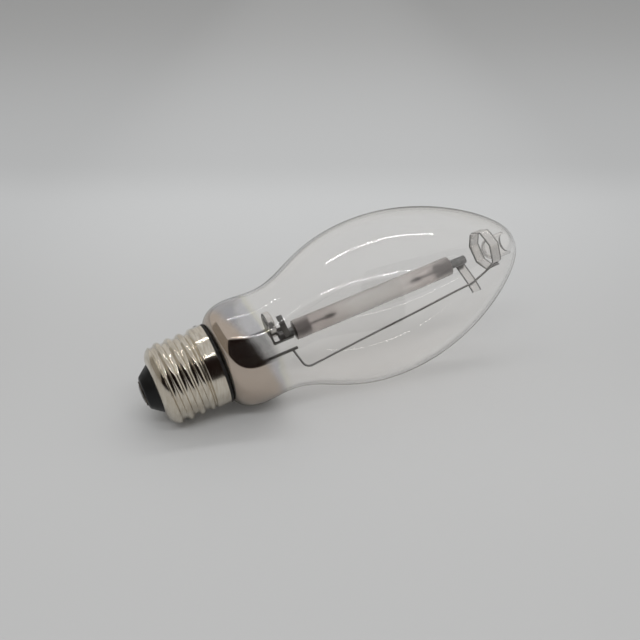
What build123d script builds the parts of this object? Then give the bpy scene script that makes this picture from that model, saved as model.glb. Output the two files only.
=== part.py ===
"""A high pressure sodium lamp: a clear elliptical glass bulb on a medium screw base,
with a ceramic arc tube held on a wire frame inside.

All sizes are in millimetres. The lamp lies on its side as it comes to rest on a flat
surface, on the first thread crest and on the belly of the glass, so its own axis leans
upwards. Stations are distances along that axis from the contact tip. Offsets across it
are measured in a radial plane, where plus is the frame wire's side.
"""
from build123d import *
from math import atan2, cos, radians, sin
import os

# Clearance between pieces that touch, fit or are welded
seat_gap = 0.05

# Screw shell, a medium screw of seven threads to the inch
thread_radius = 13.05
thread_depth = 0.9
thread_pitch = 3.629
thread_turns = 5
crest_width = 2.7
crest_sink = 0.2
first_crest = 8.2
shell_wall = 0.3
shell_start = 4.6
shell_mouth_radius = 8.3
shell_shoulder = 8.4
shoulder_bend = 5.0
skirt_start = 20.0
skirt_radius = 13.1
skirt_edge = 0.2
rim_station = 24.4

# Contact end
contact_radius = 4.0
contact_thickness = 0.4
solder_height = 0.45
solder_radius = 3.0
insulator_tip_radius = 5.0
insulator_bore = 1.2
insulator_seat = 0.3
insulator_edge = 1.6

# Glass bulb
glass_wall = 0.8
crown_room = 8.5
dome_length = 51.3
bulb_radius = 27.1
shoulder_radius = 17.45
shoulder_station = 34.5
waist_radius = 17.05
waist_station = 43.0
neck_radius = 10.9
neck_start = 19.5
neck_end = 24.2
flare_foot = 2.0
flare_top = 9.25
dip_reach = 3.0
flank_foot = 12.0
flank_top = 23.0
dome_top = 27.0
crown_rise = 4.5
dimple_radius = 3.4
dimple_lip = 1.1
dimple_depth = 9.4
outline_steps = 16

# Glass stem
stem_radius = 7.0
stem_flare_end = 25.5
stem_loft_start = 26.5
press_start = 29.6
press_end = 32.6
press_width = 14.8
press_thickness = 3.6
press_edge = 1.6
press_round = 0.5
exhaust_radius = 2.1
exhaust_bore = 1.1
exhaust_tip = 13.5

# Cement, outer leads and side solder
cement_end = 25.5
groove_depth = 4.0
groove_width = 0.8
outer_lead_radius = 0.3
outer_lead_bend = 0.5
lead_joint = 31.1
centre_lead_turn = 13.0
side_lead_turn = 17.4
over_rim = 0.42
side_lead_tail = 1.1
side_solder_radius = 1.0

# Arc tube and its ends
arc_start = 52.0
arc_length = 58.5
arc_radius = 3.3
arc_wall = 0.7
tube_edge = 0.2
plug_length = 5.2
niobium_radius = 1.5
niobium_wall = 0.25
niobium_cap = 0.5
lower_niobium_length = 5.6
upper_niobium_length = 6.4
frit_height = 0.5
frit_reach = 1.0
electrode_radius = 0.35
electrode_length = 10.2
coil_radius = 0.8
coil_length = 3.0
coil_setback = 1.2
coil_turns = 5

# Wire frame, seen in the radial plane at its azimuth
frame_azimuth = 50.0
lead_radius = 0.5
frame_lead_offset = 5.6
frame_lead_gap = 1.6
tube_lead_offset = 3.7
wire_radius = 0.35
wire_bend = 1.4
frame_weld_gap = 3.2
frame_corner_gap = 1.8
frame_corner_offset = 12.9
upper_weld_gap = 4.8
upper_weld_offset = 8.8
clip_past_dimple = 2.2
clip_weld_offset = 6.2

# Strips and the getter
clip_width = 3.8
clip_strip = 0.25
clip_sides = 7
clip_shift = 0.7
clip_gap = 1.2
strap_width = 3.4
strap_thickness = 0.15
strap_tail = 1.2
strap_reach = 12.0
bracket_reach = 8.0
bracket_width = 2.6
bracket_strip = 0.25
bracket_height = 7.0
bracket_gap = 0.5
getter_radius = 4.4
getter_channel = 1.3
getter_width = 2.1
getter_offset = 5.0
getter_wall = 0.2
getter_fill_depth = 1.7
getter_standoff = 1.55
getter_strap_width = 2.0
getter_strap_height = 7.6
getter_tab_offset = 1.0
getter_tab_width = 1.4

# Values that follow from the sizes above
root_radius = thread_radius - thread_depth
root_bore = root_radius - shell_wall
skirt_bore = skirt_radius - shell_wall
mouth_bore = shell_mouth_radius - shell_wall
contact_face = solder_height
insulator_face = contact_face + contact_thickness
insulator_top = shell_shoulder + shell_wall
stem_bore = stem_radius - glass_wall
stem_rim = neck_start - glass_wall
neck_bore = neck_radius - glass_wall
lead_bore = lead_radius + seat_gap
side_lead_offset = root_bore - 2 * seat_gap - outer_lead_radius
side_lead_outside = skirt_radius + seat_gap + outer_lead_radius
arc_end = arc_start + arc_length
arc_bore = arc_radius - arc_wall
crown_radius = dimple_radius + dimple_lip
dimple_end = arc_end + upper_niobium_length + crown_room
bulb_length = dimple_end + dimple_depth
belly_station = bulb_length - dome_length
bracket_station = arc_start - bracket_reach
frame_lead_end = arc_start - frame_lead_gap
frame_weld = arc_start - frame_weld_gap
frame_corner = arc_start - frame_corner_gap
upper_weld = arc_end + upper_weld_gap
clip_weld = dimple_end + clip_past_dimple

# The glass outline above the axis: smooth curves from the neck over the shoulder, the
# waist and the belly to the crown, level where one runs into the next
flare_curve = Bezier(
    (neck_end, neck_radius),
    (neck_end + flare_foot, neck_radius),
    (shoulder_station - flare_top, shoulder_radius),
    (shoulder_station, shoulder_radius),
)
dip_curve = Bezier(
    (shoulder_station, shoulder_radius),
    (shoulder_station + dip_reach, shoulder_radius),
    (waist_station - dip_reach, waist_radius),
    (waist_station, waist_radius),
)
flank_curve = Bezier(
    (waist_station, waist_radius),
    (waist_station + flank_foot, waist_radius),
    (belly_station - flank_top, bulb_radius),
    (belly_station, bulb_radius),
)
dome_curve = Bezier(
    (belly_station, bulb_radius),
    (belly_station + dome_top, bulb_radius),
    (bulb_length, crown_radius + crown_rise),
    (bulb_length, crown_radius),
)
glass_outline = [flare_curve, dip_curve, flank_curve, dome_curve]

# Where the lamp rests: the steepest line from the first crest to the glass belly
belly = [flank_curve @ (step / 400) for step in range(401)]
lean = max(atan2(spot.Y - thread_radius, spot.X - first_crest) for spot in belly)
along = Vector(cos(lean), 0, sin(lean))
upward = Vector(-sin(lean), 0, cos(lean))
near = Vector(0, -1, 0)

# The tip of the lamp lies so that the box around it is centred on the origin
dome = [dome_curve @ (step / 400) for step in range(401)]
far_end = max(spot.X * cos(lean) + spot.Y * sin(lean) for spot in dome)
near_end = min(
    insulator_face * cos(lean) - insulator_tip_radius * sin(lean),
    contact_face * cos(lean) - contact_radius * sin(lean),
)
tip = Vector(
    -(near_end + far_end) / 2,
    0,
    thread_radius * cos(lean) - first_crest * sin(lean),
)
lamp_axis = Axis(tip, along)
side = Plane(origin=tip, x_dir=along, z_dir=near)


def across(station):
    """The plane square to the lamp's axis at a station, with its X axis upwards."""
    return Plane(origin=tip + along * station, x_dir=upward, z_dir=along)


def radial(azimuth):
    """The plane through the axis at an azimuth from straight down, towards the near side.

    Its X axis runs along the lamp and its Y axis points outwards at the azimuth.
    """
    turn = radians(azimuth)
    outward = near * sin(turn) - upward * cos(turn)
    return Plane(origin=tip, x_dir=along, z_dir=along.cross(outward))


def turned(station, azimuth):
    """The plane square to the axis at a station, with its X axis outwards at an azimuth."""
    turn = radians(azimuth)
    outward = near * sin(turn) - upward * cos(turn)
    return Plane(origin=tip + along * station, x_dir=outward, z_dir=along)


def set_in(curve, inset):
    """A curve of the glass outline again, moved in by an amount at right angles to it."""
    points = []
    for step in range(outline_steps + 1):
        spot = curve @ (step / outline_steps)
        run = curve % (step / outline_steps)
        points.append((spot.X + inset * run.Y, spot.Y - inset * run.X))
    return Spline(*points)


def section_at(route):
    """The plane at a wire's start, square to its first run."""
    return Plane(origin=route @ 0, z_dir=route % 0)


def save(piece, name):
    """Labels a finished piece and writes it under its own name."""
    piece.part.label = name
    export_step(piece.part, f"parts/{name}.step")


os.makedirs("parts", exist_ok=True)
frame = radial(frame_azimuth)

# Screw shell: drawn sheet with a rolled thread, curled in over the insulator.
# A bar of the root's size and a crest swept along a helix are trimmed to the envelope
# that the thread runs out in, the smooth skirt is added, and the whole is bored out.
with BuildPart() as screw_shell:
    with BuildSketch(across(-thread_pitch)):
        Circle(root_radius)
    extrude(amount=rim_station + 2 * thread_pitch)
    thread_start = first_crest - 1.5 * thread_pitch
    with BuildLine() as crest_path:
        Helix(
            thread_pitch,
            thread_pitch * thread_turns,
            root_radius,
            center=tip + along * thread_start,
            direction=along,
        )
    start = crest_path.line @ 0
    outwards = (start - (tip + along * thread_start)).normalized()
    with BuildSketch(Plane(origin=start, x_dir=along, z_dir=along.cross(outwards))):
        with BuildLine():
            ThreePointArc(
                (-crest_width / 2, -crest_sink),
                (0, thread_depth),
                (crest_width / 2, -crest_sink),
            )
            Line((crest_width / 2, -crest_sink), (-crest_width / 2, -crest_sink))
        make_face()
    sweep(path=crest_path.line, is_frenet=True)
    with BuildSketch(side):
        with BuildLine():
            RadiusArc(
                (shell_start, shell_mouth_radius),
                (first_crest, thread_radius),
                shoulder_bend,
            )
            Polyline(
                (first_crest, thread_radius),
                (first_crest, thread_radius + thread_depth),
                (skirt_start, thread_radius + thread_depth),
                (skirt_start, 0),
                (shell_start, 0),
                (shell_start, shell_mouth_radius),
            )
        make_face()
    revolve(axis=lamp_axis, mode=Mode.INTERSECT)
    with BuildSketch(side):
        with BuildLine():
            Polyline(
                (skirt_start, 0),
                (skirt_start, skirt_radius - skirt_edge),
                (skirt_start + skirt_edge, skirt_radius),
                (rim_station, skirt_radius),
                (rim_station, 0),
                close=True,
            )
        make_face()
    revolve(axis=lamp_axis)
    with BuildSketch(side):
        with BuildLine():
            RadiusArc(
                (shell_start, mouth_bore),
                (shell_shoulder, root_bore),
                shoulder_bend,
            )
            Polyline(
                (shell_shoulder, root_bore),
                (skirt_start + shell_wall, root_bore),
                (skirt_start + shell_wall, skirt_bore),
                (rim_station, skirt_bore),
                (rim_station, 0),
                (shell_start, 0),
                (shell_start, mouth_bore),
            )
        make_face()
    revolve(axis=lamp_axis, mode=Mode.SUBTRACT)
save(screw_shell, "screw_shell")


# Base insulator: a black glass button pressed into the curled end, with the lead's bore
with BuildPart() as base_insulator:
    with BuildSketch(side):
        with BuildLine():
            Polyline(
                (insulator_face, insulator_bore),
                (insulator_face, insulator_tip_radius),
                (shell_start, mouth_bore - seat_gap),
                (shell_start + insulator_seat, mouth_bore - seat_gap),
                (insulator_top, root_bore - seat_gap),
                (insulator_top, insulator_bore),
                (insulator_face, insulator_bore),
            )
        make_face()
    revolve(axis=lamp_axis)
    tip_edges = base_insulator.edges().group_by(lamp_axis)[0]
    fillet(tip_edges.sort_by(SortBy.LENGTH)[-1], insulator_edge)
save(base_insulator, "base_insulator")

# Contact eyelet: a pressed disc on the insulator's tip
with BuildPart() as contact_eyelet:
    with BuildSketch(across(contact_face)):
        Circle(contact_radius)
        Circle(outer_lead_radius + seat_gap, mode=Mode.SUBTRACT)
    extrude(amount=contact_thickness)
    rim_edges = contact_eyelet.edges().group_by(lamp_axis)[0]
    fillet(rim_edges.sort_by(SortBy.LENGTH)[-1], contact_thickness / 2)
save(contact_eyelet, "contact_eyelet")

# Contact solder: the low dome that holds the centre lead in the eyelet
with BuildPart() as contact_solder:
    with BuildSketch(side):
        with BuildLine():
            Line((contact_face, 0), (contact_face, solder_radius))
            TangentArc((0, 0), (contact_face, solder_radius), tangent=(0, 1))
            Line((0, 0), (contact_face, 0))
        make_face()
    revolve(axis=lamp_axis)
save(contact_solder, "contact_solder")

# Outer bulb: blown glass of even wall, necked down into the shell, with a hollow dimple
# pushed into the dome that steadies the frame. The outside is turned as a solid, then the
# same outline set in by the wall is turned and taken out.
inner_outline = [set_in(curve, glass_wall) for curve in glass_outline]
with BuildPart() as outer_bulb:
    for inset, curves, turn_mode in (
        (0, glass_outline, Mode.ADD),
        (glass_wall, inner_outline, Mode.SUBTRACT),
    ):
        with BuildSketch(side):
            with BuildLine():
                Polyline(
                    (neck_start, 0),
                    (neck_start, neck_radius - inset),
                    (neck_end, neck_radius - inset),
                )
                add(curves)
                lip = JernArc(
                    (bulb_length - inset, crown_radius), (0, -1), dimple_lip - inset, -90
                )
                throat = Line(
                    lip @ 1, (dimple_end + dimple_radius, dimple_radius + inset)
                )
                bottom = JernArc(throat @ 1, (-1, 0), dimple_radius + inset, 90)
                Line(bottom @ 1, (neck_start, 0))
            make_face()
        revolve(axis=lamp_axis, mode=turn_mode)
save(outer_bulb, "outer_bulb")

# Stem: one piece of glass, flared to seal the neck, pinched flat round the two leads,
# with the sealed exhaust tube running down inside it
with BuildPart() as stem:
    with BuildSketch(side):
        with BuildLine():
            Polyline(
                (stem_rim, neck_radius),
                (neck_start, neck_radius),
                (neck_start, neck_bore),
            )
            flare = Spline(
                (neck_start, neck_bore),
                (stem_flare_end, stem_radius),
                tangents=((0, -1), (1, 0)),
            )
            Line(flare @ 1, (stem_loft_start, stem_radius))
            Line((stem_loft_start, stem_radius), (stem_loft_start, stem_bore))
            Line((stem_loft_start, stem_bore), (stem_flare_end, stem_bore))
            under = Spline(
                (stem_flare_end, stem_bore),
                (stem_rim, neck_bore),
                tangents=((-1, 0), (0, 1)),
            )
            Line(under @ 1, (stem_rim, neck_radius))
        make_face()
    revolve(axis=lamp_axis)
    with BuildSketch(turned(stem_loft_start, frame_azimuth)):
        Circle(stem_radius)
    with BuildSketch(turned(press_start, frame_azimuth)):
        RectangleRounded(press_width, press_thickness, press_edge)
    loft()
    with BuildSketch(turned(press_start, frame_azimuth)):
        RectangleRounded(press_width, press_thickness, press_edge)
    extrude(amount=press_end - press_start)
    fillet(stem.edges().group_by(lamp_axis)[-1], press_round)
    with BuildSketch(across(exhaust_tip + exhaust_radius)):
        Circle(exhaust_radius)
    extrude(amount=stem_loft_start - exhaust_tip - exhaust_radius)
    with BuildSketch(side):
        with BuildLine():
            seal = JernArc(
                (exhaust_tip + exhaust_radius, exhaust_radius), (-1, 0), exhaust_radius, 90
            )
            Polyline(
                seal @ 1,
                (exhaust_tip + exhaust_radius, 0),
                (exhaust_tip + exhaust_radius, exhaust_radius),
            )
        make_face()
    revolve(axis=lamp_axis)
    with BuildSketch(across(exhaust_tip + exhaust_radius)):
        Circle(exhaust_bore)
    extrude(amount=stem_loft_start - exhaust_tip - exhaust_radius, mode=Mode.SUBTRACT)
    with BuildSketch(turned(stem_loft_start, frame_azimuth)):
        with Locations((frame_lead_offset, 0), (-tube_lead_offset, 0)):
            Circle(lead_bore)
    extrude(amount=press_end - stem_loft_start, mode=Mode.SUBTRACT)
save(stem, "stem")

# Base cement: the dark ring between the shell's skirt and the neck of the glass,
# standing a little proud of the rim and grooved where the side lead passes
with BuildPart() as base_cement:
    with BuildSketch(side):
        with BuildLine():
            Polyline(
                (skirt_start + shell_wall + seat_gap, neck_radius + seat_gap),
                (skirt_start + shell_wall + seat_gap, skirt_bore - seat_gap),
                (rim_station + seat_gap, skirt_bore - seat_gap),
                (rim_station + seat_gap, skirt_radius),
                (cement_end, skirt_radius),
                (neck_end, neck_radius + seat_gap),
                close=True,
            )
        make_face()
    revolve(axis=lamp_axis)
    with BuildSketch(turned(skirt_start, frame_azimuth)):
        with Locations((-side_lead_offset, 0)):
            Rectangle(groove_depth, groove_width)
    extrude(amount=cement_end - skirt_start, mode=Mode.SUBTRACT)
save(base_cement, "base_cement")

# The two outer leads run from the pinch to the contact and over the shell's rim
lead_stops = {
    "centre_lead": [
        (lead_joint, frame_lead_offset),
        (centre_lead_turn, frame_lead_offset),
        (insulator_top, 0),
        (contact_face, 0),
    ],
    "side_lead": [
        (lead_joint, -tube_lead_offset),
        (side_lead_turn, -tube_lead_offset),
        (side_lead_turn, -side_lead_offset),
        (rim_station + over_rim, -side_lead_offset),
        (rim_station + over_rim, -side_lead_outside),
        (rim_station - side_lead_tail, -side_lead_outside),
    ],
}
outer_leads = {}
for lead_name, stops in lead_stops.items():
    with BuildPart() as outer_lead:
        with BuildLine(frame) as lead_route:
            FilletPolyline(*stops, radius=outer_lead_bend)
        with BuildSketch(section_at(lead_route.line)):
            Circle(outer_lead_radius)
        sweep(path=lead_route.line)
    save(outer_lead, lead_name)
    outer_leads[lead_name] = outer_lead.part

# Side solder: the bead that ties the side lead to the skirt, on the hidden side
with BuildPart() as side_solder:
    with Locations(frame.from_local_coords((rim_station - side_lead_tail, -skirt_radius))):
        Sphere(side_solder_radius)
    with BuildSketch(across(rim_station - side_lead_tail - side_solder_radius)):
        Circle(skirt_radius + seat_gap)
    extrude(amount=2 * side_solder_radius, mode=Mode.SUBTRACT)
    add(outer_leads["side_lead"], mode=Mode.SUBTRACT)
save(side_solder, "side_solder")

# Inner leads: nickel rods welded to the outer leads inside the pinch
inner_leads = [
    ("frame_lead", frame_lead_offset, frame_lead_end),
    ("tube_lead", -tube_lead_offset, bracket_station),
]
for lead_name, lead_offset, lead_end in inner_leads:
    with BuildPart() as inner_lead:
        with BuildSketch(turned(lead_joint, frame_azimuth)):
            with Locations((lead_offset, 0)):
                Circle(lead_radius)
        extrude(amount=lead_end - lead_joint)
    save(inner_lead, lead_name)

# Frame wire: one rod from the frame lead out past the arc tube to the dimple clip
with BuildPart() as frame_wire:
    with BuildLine(frame) as wire_route:
        FilletPolyline(
            (frame_weld, frame_lead_offset + lead_radius + seat_gap),
            (frame_corner, frame_corner_offset),
            (upper_weld, upper_weld_offset),
            (clip_weld - clip_width, clip_weld_offset),
            (clip_weld, clip_weld_offset),
            radius=wire_bend,
        )
    with BuildSketch(section_at(wire_route.line)):
        Circle(wire_radius)
    sweep(path=wire_route.line)
save(frame_wire, "frame_wire")

# Dimple clip: a springy strip bent to a many-sided ring round the dimple
clip_reach = clip_weld_offset - wire_radius - seat_gap + clip_shift
with BuildPart() as dimple_clip:
    with BuildSketch(turned(clip_weld - clip_width, frame_azimuth)):
        with Locations((-clip_shift, 0)):
            RegularPolygon(
                clip_reach, clip_sides, major_radius=False, rotation=180 / clip_sides
            )
            RegularPolygon(
                clip_reach - clip_strip,
                clip_sides,
                major_radius=False,
                rotation=180 / clip_sides,
                mode=Mode.SUBTRACT,
            )
            Rectangle(
                2 * clip_reach,
                clip_gap,
                align=(Align.MAX, Align.CENTER),
                mode=Mode.SUBTRACT,
            )
    extrude(amount=clip_width)
save(dimple_clip, "dimple_clip")

# Arc tube: a translucent alumina tube
with BuildPart() as arc_tube:
    with BuildSketch(across(arc_start)):
        Circle(arc_radius)
        Circle(arc_bore, mode=Mode.SUBTRACT)
    extrude(amount=arc_length)
    chamfer(arc_tube.edges().filter_by(GeomType.CIRCLE), tube_edge)
save(arc_tube, "arc_tube")

# Each end of the arc tube has a plug, a niobium tube, a frit seal and an electrode.
# An end is described by its face, the way that points inwards, and its tube's length.
tube_ends = [
    ("lower", arc_start, 1, lower_niobium_length),
    ("upper", arc_end, -1, upper_niobium_length),
]
for end_name, face, inwards, tube_length in tube_ends:
    with BuildPart() as end_plug:
        with BuildSketch(across(face)):
            Circle(arc_bore - seat_gap)
            Circle(niobium_radius + seat_gap, mode=Mode.SUBTRACT)
        extrude(amount=inwards * plug_length)
    save(end_plug, f"{end_name}_end_plug")

    with BuildPart() as niobium_tube:
        with BuildSketch(across(face - inwards * tube_length)):
            Circle(niobium_radius)
        extrude(amount=inwards * (tube_length + plug_length))
        with BuildSketch(across(face - inwards * tube_length)):
            Circle(niobium_radius - niobium_wall)
        extrude(
            amount=inwards * (tube_length + plug_length - niobium_cap),
            mode=Mode.SUBTRACT,
        )
    save(niobium_tube, f"{end_name}_niobium_tube")

    with BuildPart() as frit_seal:
        with BuildSketch(side):
            with BuildLine():
                Polyline(
                    (face, niobium_radius + seat_gap),
                    (face, niobium_radius + frit_reach),
                    (face - inwards * frit_height, niobium_radius + seat_gap),
                    (face, niobium_radius + seat_gap),
                )
            make_face()
        revolve(axis=lamp_axis)
    save(frit_seal, f"{end_name}_frit_seal")

    cap_station = face + inwards * plug_length
    with BuildPart() as electrode_rod:
        with BuildSketch(across(cap_station)):
            Circle(electrode_radius)
        extrude(amount=inwards * electrode_length)
    save(electrode_rod, f"{end_name}_electrode_rod")

    coil_far = cap_station + inwards * (electrode_length - coil_setback)
    coil_pitch = coil_length / coil_turns
    with BuildPart() as electrode_coil:
        with BuildSketch(side):
            with BuildLine():
                ridges = [(coil_far, electrode_radius + seat_gap)]
                for turn in range(coil_turns):
                    foot = coil_far - inwards * coil_pitch * turn
                    ridges.append((foot, coil_radius - coil_pitch / 3))
                    ridges.append((foot - inwards * coil_pitch / 2, coil_radius))
                coil_near = coil_far - inwards * coil_length
                ridges.append((coil_near, coil_radius - coil_pitch / 3))
                ridges.append((coil_near, electrode_radius + seat_gap))
                Polyline(*ridges, close=True)
            make_face()
        revolve(axis=lamp_axis)
    save(electrode_coil, f"{end_name}_electrode_coil")

# Upper strap: a ribbon welded to the far side of the upper niobium tube and led across
# behind the frame wire
tube_side = niobium_radius + seat_gap + strap_thickness / 2
wire_side = wire_radius + seat_gap + strap_thickness / 2
with BuildPart() as upper_strap:
    with BuildSketch(turned(upper_weld - strap_width / 2, frame_azimuth)):
        with BuildLine() as ribbon:
            Polyline(
                (-strap_tail, tube_side),
                (strap_tail, tube_side),
                (upper_weld_offset - strap_tail, wire_side),
                (strap_reach, wire_side),
            )
        trace(ribbon.line, line_width=strap_thickness)
    extrude(amount=strap_width)
save(upper_strap, "upper_strap")

# Lower bracket: a strip that crosses the tube lead's end and turns along the tube
foot_offset = niobium_radius + seat_gap + bracket_strip / 2
with BuildPart() as lower_bracket:
    with BuildSketch(frame.offset(-bracket_width / 2)):
        with BuildLine() as strip:
            Polyline(
                (bracket_station + bracket_strip / 2, -bracket_height),
                (bracket_station + bracket_strip / 2, foot_offset),
                (arc_start - frit_height - bracket_gap, foot_offset),
            )
        trace(strip.line, line_width=bracket_strip)
    extrude(amount=bracket_width)
save(lower_bracket, "lower_bracket")

# Getter ring: a pressed channel that held the getter metal, open towards the base
ring_start = bracket_station + bracket_strip
ring_end = ring_start + getter_width
with BuildPart() as getter_ring:
    with BuildSketch(turned(ring_start, frame_azimuth)):
        with Locations((-getter_offset, 0)):
            Circle(getter_radius)
            Circle(getter_radius - getter_channel, mode=Mode.SUBTRACT)
    extrude(amount=getter_width)
    with BuildSketch(turned(ring_start, frame_azimuth)):
        with Locations((-getter_offset, 0)):
            Circle(getter_radius - getter_wall)
            Circle(getter_radius - getter_channel + getter_wall, mode=Mode.SUBTRACT)
    extrude(amount=getter_width - getter_wall, mode=Mode.SUBTRACT)
save(getter_ring, "getter_ring")

# Getter fill: the pressed metal powder that stays in the bottom of the channel
fill_start = ring_end - getter_wall - seat_gap - getter_fill_depth
with BuildPart() as getter_fill:
    with BuildSketch(turned(fill_start, frame_azimuth)):
        with Locations((-getter_offset, 0)):
            Circle(getter_radius - getter_wall - seat_gap)
            Circle(
                getter_radius - getter_channel + getter_wall + seat_gap,
                mode=Mode.SUBTRACT,
            )
    extrude(amount=getter_fill_depth)
save(getter_fill, "getter_fill")

# Getter strap: a flat strip on the near side of the lower niobium tube, with a tab
# that carries the getter ring
with BuildPart() as getter_strap:
    with BuildSketch(frame.offset(-niobium_radius - seat_gap)):
        with Locations((ring_end + getter_standoff, niobium_radius)):
            Rectangle(
                getter_strap_width,
                getter_strap_height,
                align=(Align.MIN, Align.MAX),
            )
        with Locations((ring_end, -getter_tab_offset)):
            Rectangle(
                getter_standoff,
                getter_tab_width,
                align=(Align.MIN, Align.MAX),
            )
    extrude(amount=-getter_wall)
save(getter_strap, "getter_strap")
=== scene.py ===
# %% [markdown]
# # A high pressure sodium lamp
#
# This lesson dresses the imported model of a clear, screw-based sodium lamp that lies on its
# side on pale paper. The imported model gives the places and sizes. Each step below first
# says what a piece or a finish is on the real lamp, then makes it.

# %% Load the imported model
import bmesh
import bpy
import math
import numpy as np
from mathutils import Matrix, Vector


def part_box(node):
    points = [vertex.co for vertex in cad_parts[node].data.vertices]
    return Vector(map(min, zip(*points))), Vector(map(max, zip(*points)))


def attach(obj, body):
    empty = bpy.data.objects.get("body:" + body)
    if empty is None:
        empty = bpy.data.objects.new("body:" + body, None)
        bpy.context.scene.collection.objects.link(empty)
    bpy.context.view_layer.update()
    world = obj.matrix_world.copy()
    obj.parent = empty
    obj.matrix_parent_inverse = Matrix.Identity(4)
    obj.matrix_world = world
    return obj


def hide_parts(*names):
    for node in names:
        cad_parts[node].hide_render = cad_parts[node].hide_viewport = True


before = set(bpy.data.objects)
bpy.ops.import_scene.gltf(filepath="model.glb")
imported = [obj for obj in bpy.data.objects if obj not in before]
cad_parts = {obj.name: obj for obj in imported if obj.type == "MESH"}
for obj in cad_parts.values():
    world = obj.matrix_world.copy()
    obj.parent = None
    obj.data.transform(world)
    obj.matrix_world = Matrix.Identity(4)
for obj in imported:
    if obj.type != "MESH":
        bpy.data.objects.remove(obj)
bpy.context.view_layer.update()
print("nodes in the packed model:", len(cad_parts))

# %% [markdown]
# ## The lamp's own axis
#
# Nearly every piece is turned about one axis, and the lamp leans because it rests on its
# thread and on the belly of its glass. The two end plugs of the arc tube are turned about
# that axis, so the middles of their boxes lie on it, and the line through them gives the
# lean. A station is a distance in millimetres along the axis from the contact tip. Pieces
# that touch or are welded on the real lamp keep a thin seat gap here, as in the packed
# model.

# %% Find the axis from the end plugs
MM = 0.001
LOWER_PLUG_STATION = 54.6
FRAME_AZIMUTH = math.radians(50.0)
SEAT_GAP = 0.05


def middle(node):
    """The middle of a node's box."""
    low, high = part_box(node)
    return (np.array(low) + np.array(high)) / 2


lower_plug = middle("lower_end_plug")
upper_plug = middle("upper_end_plug")
along = (upper_plug - lower_plug) / np.linalg.norm(upper_plug - lower_plug)
near = np.array([0.0, -1.0, 0.0])
upward = np.cross(near, along)
tip = lower_plug - along * LOWER_PLUG_STATION * MM
print("lean in degrees:", round(math.degrees(math.asin(along[2])), 2))

# %% [markdown]
# Two small maps turn lamp measures into places. The first takes a station, a radius and an
# azimuth, counted from straight down towards the near side. The second takes a station, an
# offset towards the frame wire and a distance to the far side of the plane that the frame
# lies in.

# %% Maps from lamp measures to places
frame_out = near * math.sin(FRAME_AZIMUTH) - upward * math.cos(FRAME_AZIMUTH)
frame_far = np.cross(along, frame_out)


def around(count):
    """Azimuths at even steps all the way round, without the last, which is the first."""
    return np.linspace(0, 2 * math.pi, count, endpoint=False)


def turned(station, radius, azimuth):
    """tip + station along + radius (near sin azimuth - upward cos azimuth), for arrays."""
    station, radius, azimuth = np.broadcast_arrays(station, radius, azimuth)
    outward = np.sin(azimuth)[..., None] * near - np.cos(azimuth)[..., None] * upward
    return tip + MM * (station[..., None] * along + radius[..., None] * outward)


def framed(station, offset, far=0.0):
    """tip + station along + offset towards the frame wire + far across its plane."""
    station, offset, far = np.broadcast_arrays(station, offset, far)
    return tip + MM * (
        station[..., None] * along + offset[..., None] * frame_out + far[..., None] * frame_far
    )


# %% [markdown]
# ## Surfaces from grids
#
# Each new piece is a grid of points, worked out as whole arrays. One function turns a grid
# into a mesh, joins its seams and poles, and turns its faces outwards.

# %% Grid to mesh
SHARP_ANGLE = math.radians(38)
JOIN_DISTANCE = 2e-7


def tidy_mesh(mesh):
    """Joins points that lie on each other, turns the faces outwards and shades them."""
    work = bmesh.new()
    work.from_mesh(mesh)
    bmesh.ops.remove_doubles(work, verts=work.verts, dist=JOIN_DISTANCE)
    bmesh.ops.dissolve_degenerate(work, edges=work.edges, dist=JOIN_DISTANCE)
    bmesh.ops.recalc_face_normals(work, faces=work.faces)
    work.to_mesh(mesh)
    work.free()
    mesh.shade_smooth()
    mesh.set_sharp_from_angle(angle=SHARP_ANGLE)


def surface(name, points, closed_rows=False):
    """Joins each point of a grid to its neighbours. The columns always close on themselves."""
    rows, columns = points.shape[:2]
    row = np.arange(rows if closed_rows else rows - 1)[:, None]
    column = np.arange(columns)[None, :]
    next_row = (row + 1) % rows
    next_column = (column + 1) % columns
    corners = [
        row * columns + column,
        row * columns + next_column,
        next_row * columns + next_column,
        next_row * columns + column,
    ]
    faces = np.stack(np.broadcast_arrays(*corners), axis=-1).reshape(-1, 4)
    mesh = bpy.data.meshes.new(name)
    mesh.from_pydata(points.reshape(-1, 3).tolist(), [], faces.tolist())
    tidy_mesh(mesh)
    piece = bpy.data.objects.new(name, mesh)
    bpy.context.scene.collection.objects.link(piece)
    return piece


def lathe(name, profile, columns=96):
    """Turns a closed profile of stations and radii about the lamp's axis."""
    profile = np.array(profile, float)
    points = turned(profile[:, :1], profile[:, 1:], around(columns)[None, :])
    return surface(name, points, closed_rows=True)


# %% [markdown]
# Each piece then gets its finish, the body that it rides on and the nodes of the imported
# model that it stands for.

# %% Dress a piece
def dress(piece, material, nodes):
    """Gives a piece its finish, its body and the nodes that it stands for."""
    if not isinstance(material, (list, tuple)):
        material = [material]
    for finish in material:
        piece.data.materials.append(finish)
    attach(piece, "root")
    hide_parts(*nodes)
    print(piece.name, "has", len(piece.data.polygons), "faces")
    return piece


# %% [markdown]
# Wires, strips and windings are one section carried along a path. A wire bender gives each
# corner a radius, so the path's corners are rounded first.

# %% Rounded paths
STRAIGHT_ENOUGH = 0.01


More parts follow.
